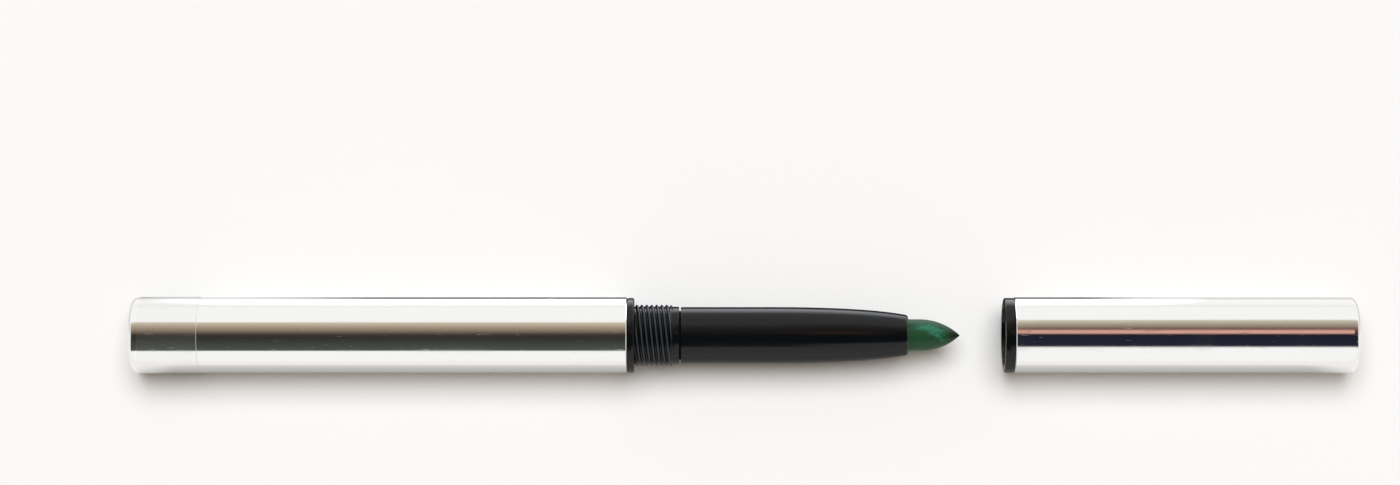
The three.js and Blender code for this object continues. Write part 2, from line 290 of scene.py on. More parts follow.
# %% [markdown]
# ## Studio light
# Polished metal shows its surroundings more than its own colour. The tubes in the photograph
# mirror a room that is white at the back and front with a dark strip of ceiling between, so the
# world draws that room. A mirror that faces up at a slope of v shows the point of the room where
# y / (1 + z) is v, so a ramp on that number gives straight stripes along a tube and round its
# ends. The 1 is taken a little larger, so that nothing is divided by zero straight below. The
# strip is warmer over the barrel and colder over the cap, with a thin pink line that ends past
# the cap, so that the sloping nose hardly shows it. The strip stops short of the side walls,
# which gives the thread's flanks their glints. Only mirrored and refracted rays see the room.
# Ambient light and one wide soft sun from the back light the colours. The sun is a little cool
# and the ambient light a little warm: together they are neutral, and the shadow is a bit warm.

# %% Strips overhead
JUST_OVER_ONE = 1.001
OVER_BARREL = [
    (0.243, "#FFFFFE"),
    (0.262, "#4F554F"),
    (0.452, "#33312E"),
    (0.490, "#423A35"),
    (0.573, "#A2907C"),
    (0.648, "#D0C4AF"),
    (0.668, "#FFFFFE"),
]
OVER_CAP = [
    (0.300, "#FFFFFE"),
    (0.335, "#242835"),
    (0.488, "#1E212D"),
    (0.516, "#E1AD9D"),
    (0.543, "#D49B8E"),
    (0.560, "#6E564B"),
    (0.685, "#CCC3B0"),
    (0.706, "#FFFFFE"),
]
PAST_CAP = OVER_CAP[:3] + OVER_CAP[5:]

world = bpy.data.worlds.new("studio")
bpy.context.scene.world = world
world.use_nodes = True
tree = world.node_tree
tree.nodes.clear()
heading = add_node(tree, "SeparateXYZ", links={0: add_node(tree, "TexCoord").outputs["Generated"]})
above = add_node(tree, "Math", {1: JUST_OVER_ONE}, {0: heading.outputs["Z"]}, operation="ADD")
slope = add_node(
    tree, "Math", links={0: heading.outputs["Y"], 1: above.outputs[0]}, operation="DIVIDE"
)
stripe = add_node(
    tree, "MapRange", {"From Min": -1.0, "From Max": 1.0}, {"Value": slope.outputs[0]}
)
strips = []
for colours in (OVER_BARREL, OVER_CAP, PAST_CAP):
    ramp = add_node(tree, "ValToRGB", links={"Fac": stripe.outputs[0]})
    stops = ramp.color_ramp.elements
    stops[0].position, stops[0].color = colours[0][0], linear(colours[0][1])
    stops[1].position, stops[1].color = colours[-1][0], linear(colours[-1][1])
    for place, shade in colours[1:-1]:
        stops.new(place).color = linear(shade)
    strips.append(ramp)
print("strips of", [len(colours) for colours in (OVER_BARREL, OVER_CAP, PAST_CAP)], "colours")

# %% Room seen in the metal
CAP_FROM, CAP_FULL = 0.05, 0.07
PAST_FROM, PAST_FULL = 0.17, 0.3
WALL_FROM, WALL_FULL, WALL_SHARE = 0.9, 0.98, 0.8

past_cap = add_node(
    tree,
    "MapRange",
    {"From Min": PAST_FROM, "From Max": PAST_FULL},
    {"Value": heading.outputs["X"]},
)
cap_strip = add_node(
    tree,
    "Mix",
    links={0: past_cap.outputs[0], 6: strips[1].outputs[0], 7: strips[2].outputs[0]},
    data_type="RGBA",
)
over_cap = add_node(
    tree,
    "MapRange",
    {"From Min": CAP_FROM, "From Max": CAP_FULL},
    {"Value": heading.outputs["X"]},
    interpolation_type="SMOOTHSTEP",
)
strip = add_node(
    tree,
    "Mix",
    links={0: over_cap.outputs[0], 6: strips[0].outputs[0], 7: cap_strip.outputs[2]},
    data_type="RGBA",
)
aside = add_node(tree, "Math", links={0: heading.outputs["X"]}, operation="ABSOLUTE")
at_wall = add_node(
    tree,
    "MapRange",
    {"From Min": WALL_FROM, "From Max": WALL_FULL, "To Max": WALL_SHARE},
    {"Value": aside.outputs[0]},
)
room = add_node(
    tree,
    "Mix",
    {7: linear("#FFFFFE")},
    {0: at_wall.outputs[0], 6: strip.outputs[2]},
    data_type="RGBA",
)
print("side walls cover", WALL_SHARE, "of the strip")

# %% World
AMBIENT = 0.3

path = add_node(tree, "LightPath")
mirrored = add_node(
    tree,
    "Math",
    links={0: path.outputs["Is Glossy Ray"], 1: path.outputs["Is Transmission Ray"]},
    operation="MAXIMUM",
)
direct = add_node(
    tree,
    "Math",
    {1: UNDER_ONE_BOUNCE},
    {0: path.outputs["Diffuse Depth"]},
    operation="LESS_THAN",
)
in_mirror = add_node(
    tree, "Math", links={0: mirrored.outputs[0], 1: direct.outputs[0]}, operation="MULTIPLY"
)
ambient = add_node(tree, "Background", {"Color": linear("#FFEEDC"), "Strength": AMBIENT})
backdrop = add_node(tree, "Background", {"Color": linear("#FBFAF9"), "Strength": 1.0})
mirrored_room = add_node(tree, "Background", {"Strength": 1.0}, {"Color": room.outputs[2]})
seen = add_node(
    tree,
    "MixShader",
    links={0: path.outputs["Is Camera Ray"], 1: ambient.outputs[0], 2: backdrop.outputs[0]},
)
shown = add_node(
    tree,
    "MixShader",
    links={0: in_mirror.outputs[0], 1: seen.outputs[0], 2: mirrored_room.outputs[0]},
)
add_node(tree, "OutputWorld", links={"Surface": shown.outputs[0]})
print("ambient light", AMBIENT)

# %% Soft sun
SUN_ELEVATION = math.radians(74.5)
SUN_WIDTH = math.radians(43)
SUN_STRENGTH = 2.55

sun_data = bpy.data.lights.new("soft sun", "SUN")
sun_data.energy = SUN_STRENGTH
sun_data.color = linear("#F5FAFE")[:3]
sun_data.angle = SUN_WIDTH
sun = bpy.data.objects.new("soft sun", sun_data)
bpy.context.scene.collection.objects.link(sun)
sun.rotation_euler = (SUN_ELEVATION - math.pi / 2, 0, 0)
sun.visible_camera = False
sun.visible_glossy = False
sun.visible_transmission = False
print("sun", round(math.degrees(SUN_WIDTH)), "degrees wide,", SUN_STRENGTH, "W per square metre")

# %% [markdown]
# ## Turning pieces round the axis
# Nearly every piece of a pencil is round, so each starts as half of its cross-section: a few
# vertices joined by edges, at a station along the axis and a radius from it. Spin sweeps that
# outline round the axis. Bevel then rounds the edges that a tool would have rounded.

# %% Lathe helpers
ROUND_STEPS = 192
SAME = 0.004
MERGED = 0.0005 * MM


def at(station, radius):
    """The point above the axis at a station and a radius, both in millimetres."""
    return Vector(((station + ROW_START) * MM, 0, (AXIS_HEIGHT + radius) * MM))


def place_of(vert):
    """A vertex's station and radius in millimetres, and its share of a turn from the top."""
    y, z = vert.co.y / MM, vert.co.z / MM - AXIS_HEIGHT
    return vert.co.x / MM - ROW_START, math.hypot(y, z), (math.atan2(-y, z) / math.tau) % 1


def lathe(outline, steps=ROUND_STEPS, rows=None, ring=True):
    """Spins an outline of (station, radius) pairs, closed to a ring or open from axis to axis.

    rows says into how many parts the edge after a point is cut.
    """
    bm = bmesh.new()
    points = [bm.verts.new(at(*pair)) for pair in outline]
    ends = points[1:] + points[:1] if ring else points[1:]
    edges = [bm.edges.new(pair) for pair in zip(points, ends)]
    for index, count in (rows or {}).items():
        bmesh.ops.subdivide_edges(bm, edges=[edges[index]], cuts=count - 1)
    bmesh.ops.spin(
        bm,
        geom=bm.verts[:] + bm.edges[:],
        cent=at(0, 0),
        axis=(1, 0, 0),
        angle=math.tau,
        steps=steps,
        use_merge=True,
    )
    bmesh.ops.remove_doubles(bm, verts=bm.verts, dist=MERGED)
    bmesh.ops.recalc_face_normals(bm, faces=bm.faces)
    return bm


def round_rings(bm, rings, segments=4):
    """Bevels whole rings of edges, each given as (station, radius, rounding)."""
    for station, radius, rounding in rings:
        def on_ring(vert):
            x, r, _ = place_of(vert)
            return abs(x - station) < SAME and abs(r - radius) < SAME

        loop = [edge for edge in bm.edges if all(on_ring(vert) for vert in edge.verts)]
        bmesh.ops.bevel(
            bm,
            geom=loop,
            offset=rounding * MM,
            offset_type="OFFSET",
            affect="EDGES",
            segments=segments,
            profile=0.5,
            material=-1,
        )


print("one turn in", ROUND_STEPS, "steps")

# %% [markdown]
# ## Keeping a piece
# A finished bmesh becomes an object that sits at the origin, with its place in its mesh. Smooth
# shading hides the facets of a turned piece, and edges steeper than a crease stay sharp. The piece
# gets its finish and rides on its body's empty, and the CAD solid it stands for is hidden.

# %% Piece helper
CREASE = math.radians(38)


def keep_piece(bm, name, body, finish, node):
    """Makes the piece, smooths and finishes it, puts it on its body and hides its CAD solid."""
    mesh = bpy.data.meshes.new(name)
    bm.to_mesh(mesh)
    bm.free()
    mesh.shade_smooth()
    mesh.set_sharp_from_angle(angle=CREASE)
    mesh.materials.append(finish)
    piece = bpy.data.objects.new(name, mesh)
    bpy.context.scene.collection.objects.link(piece)
    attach(piece, body)
    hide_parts(node)
    print(name, "has", sum(len(face.vertices) - 2 for face in mesh.polygons), "triangles")


print("edges over", round(math.degrees(CREASE)), "degrees stay sharp")

# %% [markdown]
# ## Bright drawn aluminium
# The barrel and the cap are cans drawn from thin sheet and polished, then left bare under clear
# lacquer. Drawing leaves hair-fine lines along the tube, and handling leaves soft smudges where
# the mirror is a little duller. Both are far finer than a pixel, so the lines are drawn coarser
# than the real ones to show at all.

# %% Aluminium finish
SCRATCH_WIDTH = 0.13 * MM
SCRATCH_LENGTH = 2.2 * MM
SCRATCH_SLANT = math.radians(3)
SCRATCH_ROUGHNESS = 0.4
LINE_WIDTH = 0.25 * MM
LINE_LENGTH = 18 * MM
SMUDGE_SIZE = 7 * MM

aluminium, tree = new_material("bright drawn aluminium")
spot = add_node(tree, "TexCoord").outputs["Object"]
along = add_node(
    tree,
    "Mapping",
    {"Scale": (LINE_WIDTH / LINE_LENGTH, 1, 1)},
    {"Vector": spot},
)
lines = add_node(
    tree,
    "TexNoise",
    {"Scale": 1 / LINE_WIDTH, "Detail": 3.0, "Roughness": 0.6},
    {"Vector": along.outputs[0]},
)
smudges = add_node(
    tree,
    "TexNoise",
    {"Scale": 1 / SMUDGE_SIZE, "Detail": 4.0, "Roughness": 0.65, "Distortion": 0.6},
    {"Vector": spot},
)
dulled = add_node(
    tree,
    "MapRange",
    {"From Min": 0.42, "From Max": 0.72, "To Min": 0.055, "To Max": 0.13},
    {"Value": smudges.outputs[0]},
)
slanted = add_node(
    tree,
    "Mapping",
    {"Scale": (SCRATCH_WIDTH / SCRATCH_LENGTH, 1, 1), "Rotation": (0, 0, SCRATCH_SLANT)},
    {"Vector": spot},
)
scratches = add_node(
    tree, "TexNoise", {"Scale": 1 / SCRATCH_WIDTH, "Detail": 1.0}, {"Vector": slanted.outputs[0]}
)
scratched = add_node(
    tree, "MapRange", {"From Min": 0.7, "From Max": 0.78}, {"Value": scratches.outputs[0]}
)
worn = add_node(
    tree, "Mix", {3: SCRATCH_ROUGHNESS}, {0: scratched.outputs[0], 2: dulled.outputs[0]}
)
toned = add_node(
    tree,
    "Mix",
    {6: linear("#F8F8F7"), 7: linear("#F1F1F0")},
    {0: lines.outputs[0]},
    data_type="RGBA",
)
scored = add_node(
    tree, "Bump", {"Strength": 0.05, "Distance": 0.004 * MM}, {"Height": lines.outputs[0]}
)
metal = add_node(
    tree,
    "BsdfPrincipled",
    {"Metallic": 1.0},
    {
        "Base Color": toned.outputs[2],
        "Roughness": worn.outputs[0],
        "Normal": scored.outputs[0],
    },
)
add_node(tree, "OutputMaterial", links={"Surface": metal.outputs[0]})
print("aluminium lines", LINE_WIDTH / MM, "mm wide")

# %% [markdown]
# ## Barrel and cap cans
# Both are the same drawn can: one end closed with a soft edge where the sheet bends round the
# punch, the other cut square with its sharp lip broken. The outline goes round the wall inside
# and out, so the can has its true thickness at the mouth. Smooth shading blends the normals of
# faces that meet, which would bend the mirror near a rounded edge, so one more ring is held
# close to each rounding to keep the long wall straight.

# %% Drawn cans
TUBE_RADIUS = 5.0
TUBE_BORE = 4.65
END_WALL = 0.5
END_ROUNDING = 0.9
INNER_ROUNDING = 0.55
LIP_BREAK = 0.1
INNER_BREAK = LIP_BREAK / 2
HOLD = 0.06
WALL_ROWS = 24
BARREL_MOUTH = 65.0
CAP_MOUTH = 114.5
COLLAR_LENGTH = 1.35
CAP_END = 160.8


def drawn_can(closed_end, mouth):
    """A can between two stations, closed at the first and open at the second."""
    inward = math.copysign(1, mouth - closed_end)
    floor_inside = closed_end + inward * END_WALL
    bm = lathe(
        [
            (closed_end, 0),
            (closed_end, TUBE_RADIUS - END_ROUNDING - HOLD),
            (closed_end, TUBE_RADIUS),
            (closed_end + inward * (END_ROUNDING + HOLD), TUBE_RADIUS),
            (mouth - inward * (LIP_BREAK + HOLD), TUBE_RADIUS),
            (mouth, TUBE_RADIUS),
            (mouth, TUBE_BORE),
            (floor_inside, TUBE_BORE),
            (floor_inside, 0),
        ],
        rows={3: WALL_ROWS, 6: WALL_ROWS},
        ring=False,
    )
    round_rings(bm, [(closed_end, TUBE_RADIUS, END_ROUNDING)], segments=10)
    round_rings(bm, [(floor_inside, TUBE_BORE, INNER_ROUNDING)], segments=6)
    lip = [(mouth, TUBE_RADIUS, LIP_BREAK), (mouth, TUBE_BORE, INNER_BREAK)]
    round_rings(bm, lip, segments=1)
    return bm


bm = drawn_can(0, BARREL_MOUTH)
keep_piece(bm, "barrel", "barrel", aluminium, "barrel_shell")
bm = drawn_can(CAP_END, CAP_MOUTH + COLLAR_LENGTH)
keep_piece(bm, "cap", "cap", aluminium, "cap_shell")

# %% [markdown]
# ## Clear film label
# A strip of clear film goes once round the rear of the barrel, and its ends stop just short of
# each other underneath. It is left blank. It is glued down, so its inner face lies just under
# the metal's surface, with no air between. Clear film on bright metal shows mainly as a slight
# haze, and as a thin pale line along its cut edge, where it scatters light and holds dust.

# %% Film finish
FILM_REAR = 1.15
FILM_FRONT = 8.95
FILM_BORE = 4.995
FILM_RADIUS = 5.06
EDGE_HAZE = 0.035 * MM
EDGE_CLEARNESS = 0.45
DUST_SIZE = 0.5 * MM

film, tree = new_material("clear polypropylene film")
spot = add_node(tree, "TexCoord").outputs["Object"]
along = add_node(tree, "SeparateXYZ", links={0: spot})
from_edge = add_node(
    tree, "Math", {1: (FILM_FRONT + ROW_START) * MM}, {0: along.outputs["X"]}, operation="SUBTRACT"
)
hazy_edge = add_node(
    tree,
    "MapRange",
    {"From Min": -2 * EDGE_HAZE, "From Max": -EDGE_HAZE},
    {"Value": from_edge.outputs[0]},
)
dust = add_node(
    tree, "TexNoise", {"Scale": 1 / DUST_SIZE, "Detail": 4.0, "Roughness": 0.7}, {"Vector": spot}
)
dusty = add_node(
    tree,
    "MapRange",
    {"From Min": 0.35, "From Max": 0.8, "To Min": 0.99, "To Max": 0.975},
    {"Value": dust.outputs[0]},
)
clearness = add_node(
    tree, "Mix", {3: EDGE_CLEARNESS}, {0: hazy_edge.outputs[0], 2: dusty.outputs[0]}
)
clear = add_node(
    tree,
    "BsdfPrincipled",
    {"Base Color": linear("#FFFFFF"), "Roughness": 0.03, "IOR": 1.49},
    {"Transmission Weight": clearness.outputs[0]},
)
add_node(tree, "OutputMaterial", links={"Surface": clear.outputs[0]})
print("film", round(FILM_RADIUS - FILM_BORE, 3), "mm thick")

# %% Film label
SEAM_ANGLE = math.radians(6)
SEAM_TURN = math.radians(205)
FILM_STEPS = 188

bm = bmesh.new()
corners = [
    bm.verts.new(at(*pair))
    for pair in [
        (FILM_REAR, FILM_BORE),
        (FILM_REAR, FILM_RADIUS),
        (FILM_FRONT, FILM_RADIUS),
        (FILM_FRONT, FILM_BORE),
    ]
]
strip_end = bm.faces.new(corners)
bmesh.ops.rotate(
    bm,
    verts=bm.verts,
    cent=at(0, 0),
    matrix=Matrix.Rotation(SEAM_TURN, 3, "X"),
)
bmesh.ops.spin(
    bm,
    geom=[strip_end],
    cent=at(0, 0),
    axis=(1, 0, 0),
    angle=math.tau - SEAM_ANGLE,
    steps=FILM_STEPS,
)
open_end = [edge for edge in bm.edges if edge.is_boundary]
bmesh.ops.holes_fill(bm, edges=open_end, sides=len(corners))
bmesh.ops.recalc_face_normals(bm, faces=bm.faces)
keep_piece(bm, "film_label", "barrel", film, "shade_label")

# %% [markdown]
# ## Black moulded plastic
# The neck, nose and cap liner are black polypropylene from a polished mould. It is nearly a
# black mirror, softened by a faint skin texture. A thin, broken, grey-green line on the nose's
# front edge is kohl that has rubbed off there and a painted highlight where the edge catches
# light.
# Inside the seam behind the nose it is dull. The crests of the thread are painted a lighter grey:
# a painted highlight along each ridge, like the scuffing that screwing the cap on and off leaves.

# %% Black plastic colours
SKIN_GRAIN = 0.3 * MM
FLOW_SIZE = 5 * MM
NOSE_FRONT = 101.9
SMEAR_HIGHLIGHT_REACH = 0.16 * MM
THREAD_MIDDLE = 68.5
THREAD_REACH = 2.6 * MM
CREST_HIGHLIGHT_FROM, CREST_HIGHLIGHT_TO = 3.9 * MM, 4.01 * MM

black_plastic, tree = new_material("moulded black polypropylene")
spot = add_node(tree, "TexCoord").outputs["Object"]
grain = add_node(
    tree, "TexNoise", {"Scale": 1 / SKIN_GRAIN, "Detail": 2.0}, {"Vector": spot}
)
flow = add_node(
    tree, "TexNoise", {"Scale": 1 / FLOW_SIZE, "Detail": 3.0, "Roughness": 0.6}, {"Vector": spot}
)
tone = add_node(
    tree,
    "Mix",
    {6: linear("#07090A"), 7: linear("#0D0F11")},
    {0: flow.outputs[0]},
    data_type="RGBA",
)
along = add_node(tree, "SeparateXYZ", links={0: spot})
# Painted highlight and kohl residue: a thin, broken, grey-green line on the nose's front edge.
from_edge = add_node(
    tree,
    "Math",
    {1: (NOSE_FRONT + ROW_START) * MM, 2: SMEAR_HIGHLIGHT_REACH},
    {0: along.outputs["X"]},
    operation="COMPARE",
)
broken = add_node(
    tree,
    "MapRange",
    {"From Min": 0.3, "From Max": 0.6, "To Max": 0.9},
    {"Value": grain.outputs[0]},
)
smear_and_highlight = add_node(
    tree, "Math", links={0: from_edge.outputs[0], 1: broken.outputs[0]}, operation="MULTIPLY"
)
edge_smear_highlight_tone = add_node(
    tree,
    "Mix",
    {7: linear("#53695D")},
    {0: smear_and_highlight.outputs[0], 6: tone.outputs[2]},
    data_type="RGBA",
)
# Painted highlight: the thread's crests are painted a lighter grey, like scuffing from the cap.
outwards = add_node(
    tree,
    "Mapping",
    {"Location": (0, 0, -AXIS_HEIGHT * MM), "Scale": (0, 1, 1)},
    {"Vector": spot},
)
radius = add_node(tree, "VectorMath", links={0: outwards.outputs[0]}, operation="LENGTH")
crest = add_node(
    tree,
    "MapRange",
    {"From Min": CREST_HIGHLIGHT_FROM, "From Max": CREST_HIGHLIGHT_TO, "To Max": 0.85},
    {"Value": radius.outputs["Value"]},
)
on_thread = add_node(
    tree,
    "Math",
    {1: (THREAD_MIDDLE + ROW_START) * MM, 2: THREAD_REACH},
    {0: along.outputs["X"]},
    operation="COMPARE",
)
crest_highlight = add_node(
    tree, "Math", links={0: crest.outputs[0], 1: on_thread.outputs[0]}, operation="MULTIPLY"
)
crest_highlight_tone = add_node(
    tree,
    "Mix",
    {7: linear("#3A3F43")},
    {0: crest_highlight.outputs[0], 6: edge_smear_highlight_tone.outputs[2]},
    data_type="RGBA",
)
print("plastic grain", SKIN_GRAIN / MM, "mm")

# %% Black plastic finish
SEAM_MIDDLE = 71.975
SEAM_REACH = 0.14 * MM
SEAM_ROUGHNESS = 0.9

gloss = add_node(
    tree,
    "MapRange",
    {"From Min": 0.3, "From Max": 0.7, "To Min": 0.13, "To Max": 0.2},
    {"Value": flow.outputs[0]},
)
in_seam = add_node(
    tree,
    "Math",
    {1: (SEAM_MIDDLE + ROW_START) * MM, 2: SEAM_REACH},
    {0: along.outputs["X"]},
    operation="COMPARE",
)
dulled = add_node(tree, "Mix", {3: SEAM_ROUGHNESS}, {0: in_seam.outputs[0], 2: gloss.outputs[0]})
skin = add_node(
    tree, "Bump", {"Strength": 0.06, "Distance": 0.01 * MM}, {"Height": grain.outputs[0]}
)
plastic = add_node(
    tree,
    "BsdfPrincipled",
    {"IOR": 1.49, "Specular IOR Level": 0.3},
    {
        "Base Color": crest_highlight_tone.outputs[2],
        "Roughness": dulled.outputs[0],
        "Normal": skin.outputs[0],
    },
)
add_node(tree, "OutputMaterial", links={"Surface": plastic.outputs[0]})
print("plastic dull for", round(2 * SEAM_REACH / MM, 2), "mm at the seam")

# %% [markdown]
# ## Neck with its screw thread
# The neck is pressed into the barrel's mouth. Outside it has a flange that meets the barrel, a
# fine thread for the cap and a plain ring. A thread could be spun as a helix, but its ends are
# then hard to close, so the sleeve is turned plain with many rows and the ridges are pulled out
# of it: each vertex moves outwards by the height of the thread at its station and turn.

# %% Thread helper
def ease(value):
    """0 to 1 on a smooth curve."""
    value = min(max(value, 0.0), 1.0)
    return value * value * (3 - 2 * value)


def pull_thread(
    bm, rear, front, base, depth, pitch, starts, crest, flank, hand, fade, offset=0, run_out=0
):
    """Moves the rows at the base radius out into ridges.

    Both ends fade to the share run_out of the depth.
    """
    for vert in bm.verts:
        station, radius, turned = place_of(vert)
        if abs(radius - base) > SAME or not rear < station < front:
            continue
        wound = (station - rear - offset) / pitch - hand * starts * turned
        inside = (wound % 1) * pitch
        height = ease(inside / flank) - ease((inside - flank - crest) / flank)
        ends = ease((station - rear) / fade) * ease((front - station) / fade)
        reach = (base + depth * (run_out + (height - run_out) * ends)) / radius
        middle = at(station, 0)
        vert.co = middle + (vert.co - middle) * reach


print("halfway up a flank:", ease(0.5))

# %% Neck sleeve
SLEEVE_REAR = 47.58
NUT_SEAT = 48.58
LIP_RADIUS = 1.965
INSERT_RADIUS = 4.63
FLANGE_REAR = 65.02
FLANGE_FRONT = 65.95
FLANGE_RADIUS = 4.915
THREAD_ROOT = 3.75
THREAD_DEPTH = 0.275
THREAD_END = 71.05
THREAD_PITCH = 0.655
THREAD_STARTS = 4
THREAD_CREST = 0.04
THREAD_FLANK = 0.285
THREAD_FADE = 0.25
THREAD_ROWS = 224
RING_RADIUS = 3.775
NECK_FRONT = 71.85
NECK_BORE = 3.3
EDGE = 0.2
SEAM_EDGE = 0.08
GROOVE_REAR, GROOVE_FRONT, GROOVE_RADIUS = 61.98, 62.82, 4.04
POCKET_REAR, POCKET_FRONT, POCKET_RADIUS = 54.6, 56.4, 3.55

bm = lathe(
    [
        (SLEEVE_REAR, LIP_RADIUS),
        (SLEEVE_REAR, INSERT_RADIUS),
        (FLANGE_REAR, INSERT_RADIUS),
        (FLANGE_REAR, FLANGE_RADIUS),
        (FLANGE_FRONT, FLANGE_RADIUS),
        (FLANGE_FRONT, THREAD_ROOT),
        (THREAD_END, THREAD_ROOT),
        (THREAD_END, RING_RADIUS),
        (NECK_FRONT, RING_RADIUS),
        (NECK_FRONT, NECK_BORE),
        (GROOVE_FRONT, NECK_BORE),
        (GROOVE_FRONT, GROOVE_RADIUS),
        (GROOVE_REAR, GROOVE_RADIUS),
        (GROOVE_REAR, NECK_BORE),
        (POCKET_FRONT, NECK_BORE),
        (POCKET_FRONT, POCKET_RADIUS),
        (POCKET_REAR, POCKET_RADIUS),
        (POCKET_REAR, NECK_BORE),
        (NUT_SEAT, NECK_BORE),
        (NUT_SEAT, LIP_RADIUS),
    ],
    rows={5: THREAD_ROWS},
)
pull_thread(
    bm,
    rear=FLANGE_FRONT,
    front=THREAD_END,
    base=THREAD_ROOT,
    depth=THREAD_DEPTH,
    pitch=THREAD_PITCH,
    starts=THREAD_STARTS,
    crest=THREAD_CREST,
    flank=THREAD_FLANK,
    hand=1,
    fade=THREAD_FADE,
)
round_rings(
    bm,
    [
        (FLANGE_REAR, FLANGE_RADIUS, EDGE),
        (FLANGE_FRONT, FLANGE_RADIUS, EDGE),
        (NECK_FRONT, RING_RADIUS, SEAM_EDGE),
        (SLEEVE_REAR, INSERT_RADIUS, EDGE),
    ],
)
keep_piece(bm, "neck", "barrel", black_plastic, "neck_sleeve")

# %% [markdown]
# ## Nose
# The nose turns in the neck and guides the kohl. It is straight for a third of its length and
# then narrows in one long curve. A Bezier curve gives that line, with both handles two thirds of
# the way to the point where the curve bends, and the spin turns it. The front edge is only just
# rounded, so it catches a bright line of light. Inside its tail are two keyways, pushed out of the
# round bore, that make the nose turn the kohl's holder.

# %% Nose cone
from mathutils.geometry import interpolate_bezier


def push_sides(bm, rear, front, radius, reach, width):
    """Moves what lies at a radius out to another one, in a strip of that width at each side."""
    for vert in bm.verts:
        station, now, _ = place_of(vert)
        in_strip = abs(vert.co.z / MM - AXIS_HEIGHT) <= width / 2
        if in_strip and abs(now - radius) < SAME and rear - SAME < station < front + SAME:
            middle = at(station, 0)
            vert.co = middle + (vert.co - middle) * (reach / radius)


TAIL_REAR, TAIL_RADIUS, TAIL_BORE = 54.9, 3.2, 2.6
BEAD_HEIGHT, BEAD_LENGTH = 0.25, 1.2
NOSE_REAR = 72.1
NOSE_RADIUS, NOSE_TIP_RADIUS = 3.72, 2.655
TAPER_REAR, TAPER_BEND = 84.0, 12.5
GUIDE_REAR, GUIDE_BORE = 84.17, 2.225
RIB_REACH, RIB_WIDTH = 2.75, 0.8
KEY_ROOM = 0.1
TIP_EDGE, GUIDE_EDGE = 1.5 * EDGE, EDGE / 3
TAPER_STEPS, STRAIGHT_ROWS = 40, 12

start = Vector((TAPER_REAR, NOSE_RADIUS, 0))
bend = Vector((TAPER_REAR + TAPER_BEND, NOSE_RADIUS, 0))
finish_point = Vector((NOSE_FRONT, NOSE_TIP_RADIUS, 0))
taper = interpolate_bezier(
    start, start.lerp(bend, 2 / 3), finish_point.lerp(bend, 2 / 3), finish_point, TAPER_STEPS
)
bm = lathe(
    [
        (TAIL_REAR, TAIL_BORE),
        (TAIL_REAR, TAIL_RADIUS),
        (TAIL_REAR + BEAD_HEIGHT, TAIL_RADIUS + BEAD_HEIGHT),
        (TAIL_REAR + BEAD_LENGTH - BEAD_HEIGHT, TAIL_RADIUS + BEAD_HEIGHT),
        (TAIL_REAR + BEAD_LENGTH, TAIL_RADIUS),
        (NOSE_REAR, TAIL_RADIUS),
        (NOSE_REAR, NOSE_RADIUS),
        *[(point.x, point.y) for point in taper],
        (NOSE_FRONT, GUIDE_BORE),
        (GUIDE_REAR, GUIDE_BORE),
        (GUIDE_REAR, TAIL_BORE),
    ],
    rows={6: STRAIGHT_ROWS},
)
round_rings(
    bm,
    [
        (NOSE_REAR, NOSE_RADIUS, SEAM_EDGE),
        (NOSE_FRONT, NOSE_TIP_RADIUS, TIP_EDGE),
        (NOSE_FRONT, GUIDE_BORE, GUIDE_EDGE),
    ],
)
push_sides(bm, TAIL_REAR, GUIDE_REAR, TAIL_BORE, RIB_REACH + KEY_ROOM, RIB_WIDTH + 2 * KEY_ROOM)
keep_piece(bm, "nose", "nose", black_plastic, "nose_cone")

# %% [markdown]
# ## Cap liner
# A black liner is pressed into the cap can. Only its collar shows, as a dark band at the cap's
# mouth, with the dark bore behind it.

# %% Cap liner
LINER_BORE = 4.15
LINER_FLOOR, LINER_END = 159.88, 160.28
COLLAR_FRONT = 115.83
COLLAR_EDGE = 0.04
LINER_ROUNDING = 0.57
LINER_ROWS = 12

bm = lathe(
    [
        (LINER_FLOOR, 0),
        (LINER_FLOOR, LINER_BORE),
        (CAP_MOUTH, LINER_BORE),
        (CAP_MOUTH, FLANGE_RADIUS),
        (COLLAR_FRONT, FLANGE_RADIUS),
        (COLLAR_FRONT, INSERT_RADIUS),
        (LINER_END, INSERT_RADIUS),
        (LINER_END, 0),
    ],
    rows={1: LINER_ROWS, 5: LINER_ROWS},
    ring=False,
)
round_rings(
    bm,
    [
        (LINER_FLOOR, LINER_BORE, LINER_ROUNDING),
        (LINER_END, INSERT_RADIUS, LINER_ROUNDING),
        (CAP_MOUTH, LINER_BORE, EDGE),
        (CAP_MOUTH, FLANGE_RADIUS, EDGE),
        (COLLAR_FRONT, FLANGE_RADIUS, COLLAR_EDGE),
    ],
)
keep_piece(bm, "cap_liner_moulding", "cap", black_plastic, "cap_liner")

# %% [markdown]
# ## Kohl
# Kohl is a stick of wax and pigment, cast in the nose and worn to a bullet by use. The wax gives
# a dull satin shine, and its powdery skin turns pale where it is seen edge on. One side has been
# rubbed: a streaky blue-green patch runs slantwise towards the point. The point itself is dark,
# where pigment has gathered. The patch is an ellipse placed on the stick with a Mapping node and
# broken up with noise, so it stays where the photograph has it.

# %% Kohl colours
SMEAR_LENGTH = 3.0 * MM
SMEAR_WIDTH = 0.7 * MM
CLOUD_SIZE = 1.6 * MM
CRUMB_SIZE = 0.4 * MM
STICK_TIP = 108.75
DARK_FROM, DARK_FULL = STICK_TIP - 2.4, STICK_TIP - 0.5
PATCH_MIDDLE = ((105.1 + ROW_START) * MM, 0.55 * MM, 7.1 * MM)
PATCH_HALF = (2.7 * MM, 0.95 * MM, 2.4 * MM)
PATCH_TURN = math.radians(-24)

